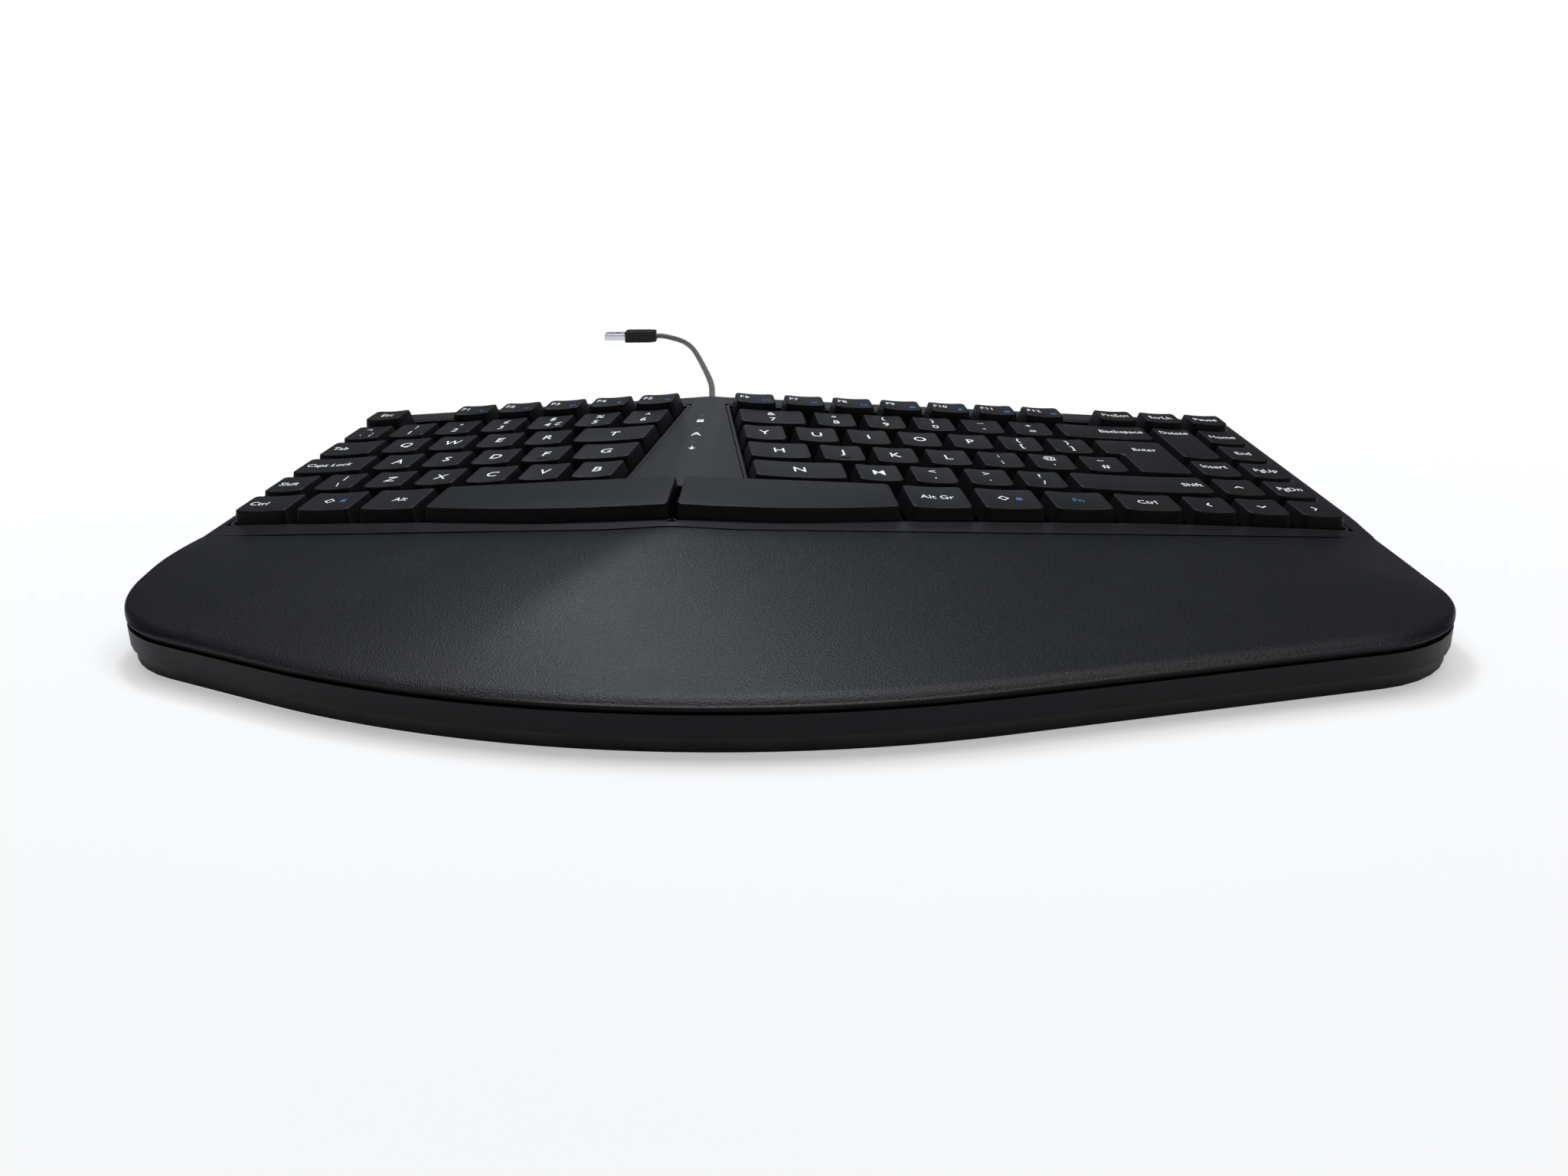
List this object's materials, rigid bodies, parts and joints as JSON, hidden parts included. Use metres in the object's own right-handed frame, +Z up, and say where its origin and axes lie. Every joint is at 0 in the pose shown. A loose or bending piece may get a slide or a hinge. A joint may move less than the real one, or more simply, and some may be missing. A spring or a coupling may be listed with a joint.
{
  "type": "ergonomic split keyboard",
  "caption": "Ergonomic split keyboard: sprung keys in raked fields either side of a crest, a broad palm rest, fold-out tilt feet and a stored USB lead.",
  "frame": {"origin": "centre of the case's plan box, on the desk under the rubber pads", "axes": "+X to the right of the person typing, +Y away from them, +Z up from the desk"},
  "size_m": [0.3928, 0.6768, 0.0503],
  "materials": {
    "case": "fine-textured black moulding",
    "palm": "fine-textured black moulding",
    "keycap": "satin charcoal moulding",
    "frame": "black moulding",
    "dome": "translucent silicone",
    "film": "printed film",
    "steel": "zinc plated",
    "board": "solder resist",
    "lens": "smoked light pipe",
    "cord": "dark grey cable jacket",
    "bright": "nickel plated",
    "rubber": "matt"
  },
  "bodies": {
    "base": {"bottom_case": "case", "top_case": "case", "palm_rest": "palm", "key_frames": "frame", "dome_sheets": "dome", "membranes": "film", "backing_plates": "steel", "controller_board": "board", "indicator_lenses": "lens", "strain_relief": "cord", "usb_cord": "cord", "cord_coil": "cord", "coil_tie": "frame", "plug_body": "frame", "plug_shell": "bright", "rubber_pads": "rubber", "case_screws": "steel"},
    "foot_left": {"foot_left": "case"},
    "foot_right": {"foot_right": "case"},
    "key_q": {"key_q": "keycap"},
    "key_w": {"key_w": "keycap"},
    "key_e": {"key_e": "keycap"},
    "key_r": {"key_r": "keycap"},
    "key_t": {"key_t": "keycap"},
    "key_y": {"key_y": "keycap"},
    "key_u": {"key_u": "keycap"},
    "key_i": {"key_i": "keycap"},
    "key_o": {"key_o": "keycap"},
    "key_p": {"key_p": "keycap"},
    "key_a": {"key_a": "keycap"},
    "key_s": {"key_s": "keycap"},
    "key_d": {"key_d": "keycap"},
    "key_f": {"key_f": "keycap"},
    "key_g": {"key_g": "keycap"},
    "key_h": {"key_h": "keycap"},
    "key_j": {"key_j": "keycap"},
    "key_k": {"key_k": "keycap"},
    "key_l": {"key_l": "keycap"},
    "key_z": {"key_z": "keycap"},
    "key_x": {"key_x": "keycap"},
    "key_c": {"key_c": "keycap"},
    "key_v": {"key_v": "keycap"},
    "key_b": {"key_b": "keycap"},
    "key_n": {"key_n": "keycap"},
    "key_m": {"key_m": "keycap"},
    "key_space_left": {"key_space_left": "keycap"},
    "key_space_right": {"key_space_right": "keycap"},
    "key_backspace": {"key_backspace": "keycap"},
    "key_shift_left": {"key_shift_left": "keycap"},
    "key_shift_right": {"key_shift_right": "keycap"},
    "function_keys_left": {"function_keys_left": "keycap"},
    "function_keys_right": {"function_keys_right": "keycap"},
    "system_keys": {"system_keys": "keycap"},
    "number_keys_left": {"number_keys_left": "keycap"},
    "number_keys_right": {"number_keys_right": "keycap"},
    "punctuation_keys": {"punctuation_keys": "keycap"},
    "edge_keys_left": {"edge_keys_left": "keycap"},
    "modifier_keys_right": {"modifier_keys_right": "keycap"},
    "navigation_keys": {"navigation_keys": "keycap"},
    "enter_key": {"enter_key": "keycap"}
  },
  "joints": [
    {"name": "key_q_press", "type": "slide", "parent": "base", "child": "key_q", "axis": [0.1002, 0.0867, -0.9912], "range_m": [0, 0.0024], "stiffness_N_per_m": 180, "springref_m": -0.001, "deforming": ["dome_sheets"]},
    {"name": "key_w_press", "type": "slide", "parent": "base", "child": "key_w", "axis": [0.1002, 0.0867, -0.9912], "range_m": [0, 0.0024], "stiffness_N_per_m": 180, "springref_m": -0.001, "deforming": ["dome_sheets"]},
    {"name": "key_e_press", "type": "slide", "parent": "base", "child": "key_e", "axis": [0.1002, 0.0867, -0.9912], "range_m": [0, 0.0024], "stiffness_N_per_m": 180, "springref_m": -0.001, "deforming": ["dome_sheets"]},
    {"name": "key_r_press", "type": "slide", "parent": "base", "child": "key_r", "axis": [0.1002, 0.0867, -0.9912], "range_m": [0, 0.0024], "stiffness_N_per_m": 180, "springref_m": -0.001, "deforming": ["dome_sheets"]},
    {"name": "key_t_press", "type": "slide", "parent": "base", "child": "key_t", "axis": [0.1002, 0.0867, -0.9912], "range_m": [0, 0.0024], "stiffness_N_per_m": 180, "springref_m": -0.001, "deforming": ["dome_sheets"]},
    {"name": "key_y_press", "type": "slide", "parent": "base", "child": "key_y", "axis": [-0.1002, 0.0867, -0.9912], "range_m": [0, 0.0024], "stiffness_N_per_m": 180, "springref_m": -0.001, "deforming": ["dome_sheets"]},
    {"name": "key_u_press", "type": "slide", "parent": "base", "child": "key_u", "axis": [-0.1002, 0.0867, -0.9912], "range_m": [0, 0.0024], "stiffness_N_per_m": 180, "springref_m": -0.001, "deforming": ["dome_sheets"]},
    {"name": "key_i_press", "type": "slide", "parent": "base", "child": "key_i", "axis": [-0.1002, 0.0867, -0.9912], "range_m": [0, 0.0024], "stiffness_N_per_m": 180, "springref_m": -0.001, "deforming": ["dome_sheets"]},
    {"name": "key_o_press", "type": "slide", "parent": "base", "child": "key_o", "axis": [-0.1002, 0.0867, -0.9912], "range_m": [0, 0.0024], "stiffness_N_per_m": 180, "springref_m": -0.001, "deforming": ["dome_sheets"]},
    {"name": "key_p_press", "type": "slide", "parent": "base", "child": "key_p", "axis": [-0.1002, 0.0867, -0.9912], "range_m": [0, 0.0024], "stiffness_N_per_m": 180, "springref_m": -0.001, "deforming": ["dome_sheets"]},
    {"name": "key_a_press", "type": "slide", "parent": "base", "child": "key_a", "axis": [0.1002, 0.0867, -0.9912], "range_m": [0, 0.0024], "stiffness_N_per_m": 180, "springref_m": -0.001, "deforming": ["dome_sheets"]},
    {"name": "key_s_press", "type": "slide", "parent": "base", "child": "key_s", "axis": [0.1002, 0.0867, -0.9912], "range_m": [0, 0.0024], "stiffness_N_per_m": 180, "springref_m": -0.001, "deforming": ["dome_sheets"]},
    {"name": "key_d_press", "type": "slide", "parent": "base", "child": "key_d", "axis": [0.1002, 0.0867, -0.9912], "range_m": [0, 0.0024], "stiffness_N_per_m": 180, "springref_m": -0.001, "deforming": ["dome_sheets"]},
    {"name": "key_f_press", "type": "slide", "parent": "base", "child": "key_f", "axis": [0.1002, 0.0867, -0.9912], "range_m": [0, 0.0024], "stiffness_N_per_m": 180, "springref_m": -0.001, "deforming": ["dome_sheets"]},
    {"name": "key_g_press", "type": "slide", "parent": "base", "child": "key_g", "axis": [0.1002, 0.0867, -0.9912], "range_m": [0, 0.0024], "stiffness_N_per_m": 180, "springref_m": -0.001, "deforming": ["dome_sheets"]},
    {"name": "key_h_press", "type": "slide", "parent": "base", "child": "key_h", "axis": [-0.1002, 0.0867, -0.9912], "range_m": [0, 0.0024], "stiffness_N_per_m": 180, "springref_m": -0.001, "deforming": ["dome_sheets"]},
    {"name": "key_j_press", "type": "slide", "parent": "base", "child": "key_j", "axis": [-0.1002, 0.0867, -0.9912], "range_m": [0, 0.0024], "stiffness_N_per_m": 180, "springref_m": -0.001, "deforming": ["dome_sheets"]},
    {"name": "key_k_press", "type": "slide", "parent": "base", "child": "key_k", "axis": [-0.1002, 0.0867, -0.9912], "range_m": [0, 0.0024], "stiffness_N_per_m": 180, "springref_m": -0.001, "deforming": ["dome_sheets"]},
    {"name": "key_l_press", "type": "slide", "parent": "base", "child": "key_l", "axis": [-0.1002, 0.0867, -0.9912], "range_m": [0, 0.0024], "stiffness_N_per_m": 180, "springref_m": -0.001, "deforming": ["dome_sheets"]},
    {"name": "key_z_press", "type": "slide", "parent": "base", "child": "key_z", "axis": [0.1002, 0.0867, -0.9912], "range_m": [0, 0.0024], "stiffness_N_per_m": 180, "springref_m": -0.001, "deforming": ["dome_sheets"]},
    {"name": "key_x_press", "type": "slide", "parent": "base", "child": "key_x", "axis": [0.1002, 0.0867, -0.9912], "range_m": [0, 0.0024], "stiffness_N_per_m": 180, "springref_m": -0.001, "deforming": ["dome_sheets"]},
    {"name": "key_c_press", "type": "slide", "parent": "base", "child": "key_c", "axis": [0.1002, 0.0867, -0.9912], "range_m": [0, 0.0024], "stiffness_N_per_m": 180, "springref_m": -0.001, "deforming": ["dome_sheets"]},
    {"name": "key_v_press", "type": "slide", "parent": "base", "child": "key_v", "axis": [0.1002, 0.0867, -0.9912], "range_m": [0, 0.0024], "stiffness_N_per_m": 180, "springref_m": -0.001, "deforming": ["dome_sheets"]},
    {"name": "key_b_press", "type": "slide", "parent": "base", "child": "key_b", "axis": [0.1002, 0.0867, -0.9912], "range_m": [0, 0.0024], "stiffness_N_per_m": 180, "springref_m": -0.001, "deforming": ["dome_sheets"]},
    {"name": "key_n_press", "type": "slide", "parent": "base", "child": "key_n", "axis": [-0.1002, 0.0867, -0.9912], "range_m": [0, 0.0024], "stiffness_N_per_m": 180, "springref_m": -0.001, "deforming": ["dome_sheets"]},
    {"name": "key_m_press", "type": "slide", "parent": "base", "child": "key_m", "axis": [-0.1002, 0.0867, -0.9912], "range_m": [0, 0.0024], "stiffness_N_per_m": 180, "springref_m": -0.001, "deforming": ["dome_sheets"]},
    {"name": "key_space_left_press", "type": "slide", "parent": "base", "child": "key_space_left", "axis": [0.1002, 0.0867, -0.9912], "range_m": [0, 0.0024], "stiffness_N_per_m": 180, "springref_m": -0.001, "deforming": ["dome_sheets"]},
    {"name": "key_space_right_press", "type": "slide", "parent": "base", "child": "key_space_right", "axis": [-0.1002, 0.0867, -0.9912], "range_m": [0, 0.0024], "stiffness_N_per_m": 180, "springref_m": -0.001, "deforming": ["dome_sheets"]},
    {"name": "key_backspace_press", "type": "slide", "parent": "base", "child": "key_backspace", "axis": [-0.1002, 0.0867, -0.9912], "range_m": [0, 0.0024], "stiffness_N_per_m": 180, "springref_m": -0.001, "deforming": ["dome_sheets"]},
    {"name": "key_shift_left_press", "type": "slide", "parent": "base", "child": "key_shift_left", "axis": [0.1002, 0.0867, -0.9912], "range_m": [0, 0.0024], "stiffness_N_per_m": 180, "springref_m": -0.001, "deforming": ["dome_sheets"]},
    {"name": "key_shift_right_press", "type": "slide", "parent": "base", "child": "key_shift_right", "axis": [-0.1002, 0.0867, -0.9912], "range_m": [0, 0.0024], "stiffness_N_per_m": 180, "springref_m": -0.001, "deforming": ["dome_sheets"]},
    {"name": "function_keys_left_press", "type": "slide", "parent": "base", "child": "function_keys_left", "axis": [0.1002, 0.0867, -0.9912], "range_m": [0, 0.0024], "stiffness_N_per_m": 180, "springref_m": -0.001, "deforming": ["dome_sheets"]},
    {"name": "function_keys_right_press", "type": "slide", "parent": "base", "child": "function_keys_right", "axis": [-0.1002, 0.0867, -0.9912], "range_m": [0, 0.0024], "stiffness_N_per_m": 180, "springref_m": -0.001, "deforming": ["dome_sheets"]},
    {"name": "system_keys_press", "type": "slide", "parent": "base", "child": "system_keys", "axis": [-0.1002, 0.0867, -0.9912], "range_m": [0, 0.0024], "stiffness_N_per_m": 180, "springref_m": -0.001, "deforming": ["dome_sheets"]},
    {"name": "number_keys_left_press", "type": "slide", "parent": "base", "child": "number_keys_left", "axis": [0.1002, 0.0867, -0.9912], "range_m": [0, 0.0024], "stiffness_N_per_m": 180, "springref_m": -0.001, "deforming": ["dome_sheets"]},
    {"name": "number_keys_right_press", "type": "slide", "parent": "base", "child": "number_keys_right", "axis": [-0.1002, 0.0867, -0.9912], "range_m": [0, 0.0024], "stiffness_N_per_m": 180, "springref_m": -0.001, "deforming": ["dome_sheets"]},
    {"name": "punctuation_keys_press", "type": "slide", "parent": "base", "child": "punctuation_keys", "axis": [-0.1002, 0.0867, -0.9912], "range_m": [0, 0.0024], "stiffness_N_per_m": 180, "springref_m": -0.001, "deforming": ["dome_sheets"]},
    {"name": "edge_keys_left_press", "type": "slide", "parent": "base", "child": "edge_keys_left", "axis": [0.1002, 0.0867, -0.9912], "range_m": [0, 0.0024], "stiffness_N_per_m": 180, "springref_m": -0.001, "deforming": ["dome_sheets"]},
    {"name": "modifier_keys_right_press", "type": "slide", "parent": "base", "child": "modifier_keys_right", "axis": [-0.1002, 0.0867, -0.9912], "range_m": [0, 0.0024], "stiffness_N_per_m": 180, "springref_m": -0.001, "deforming": ["dome_sheets"]},
    {"name": "navigation_keys_press", "type": "slide", "parent": "base", "child": "navigation_keys", "axis": [-0.1002, 0.0867, -0.9912], "range_m": [0, 0.0024], "stiffness_N_per_m": 180, "springref_m": -0.001, "deforming": ["dome_sheets"]},
    {"name": "enter_key_press", "type": "slide", "parent": "base", "child": "enter_key", "axis": [-0.1002, 0.0867, -0.9912], "range_m": [0, 0.0024], "stiffness_N_per_m": 180, "springref_m": -0.001, "deforming": ["dome_sheets"]},
    {"name": "foot_left_fold", "type": "hinge", "parent": "base", "child": "foot_left", "pos_m": [-0.112, 0.07115, 0.0034], "axis": [-1, 0, 0], "range_deg": [0, 90]},
    {"name": "foot_right_fold", "type": "hinge", "parent": "base", "child": "foot_right", "pos_m": [0.112, 0.07115, 0.0034], "axis": [-1, 0, 0], "range_deg": [0, 90]}
  ]
}
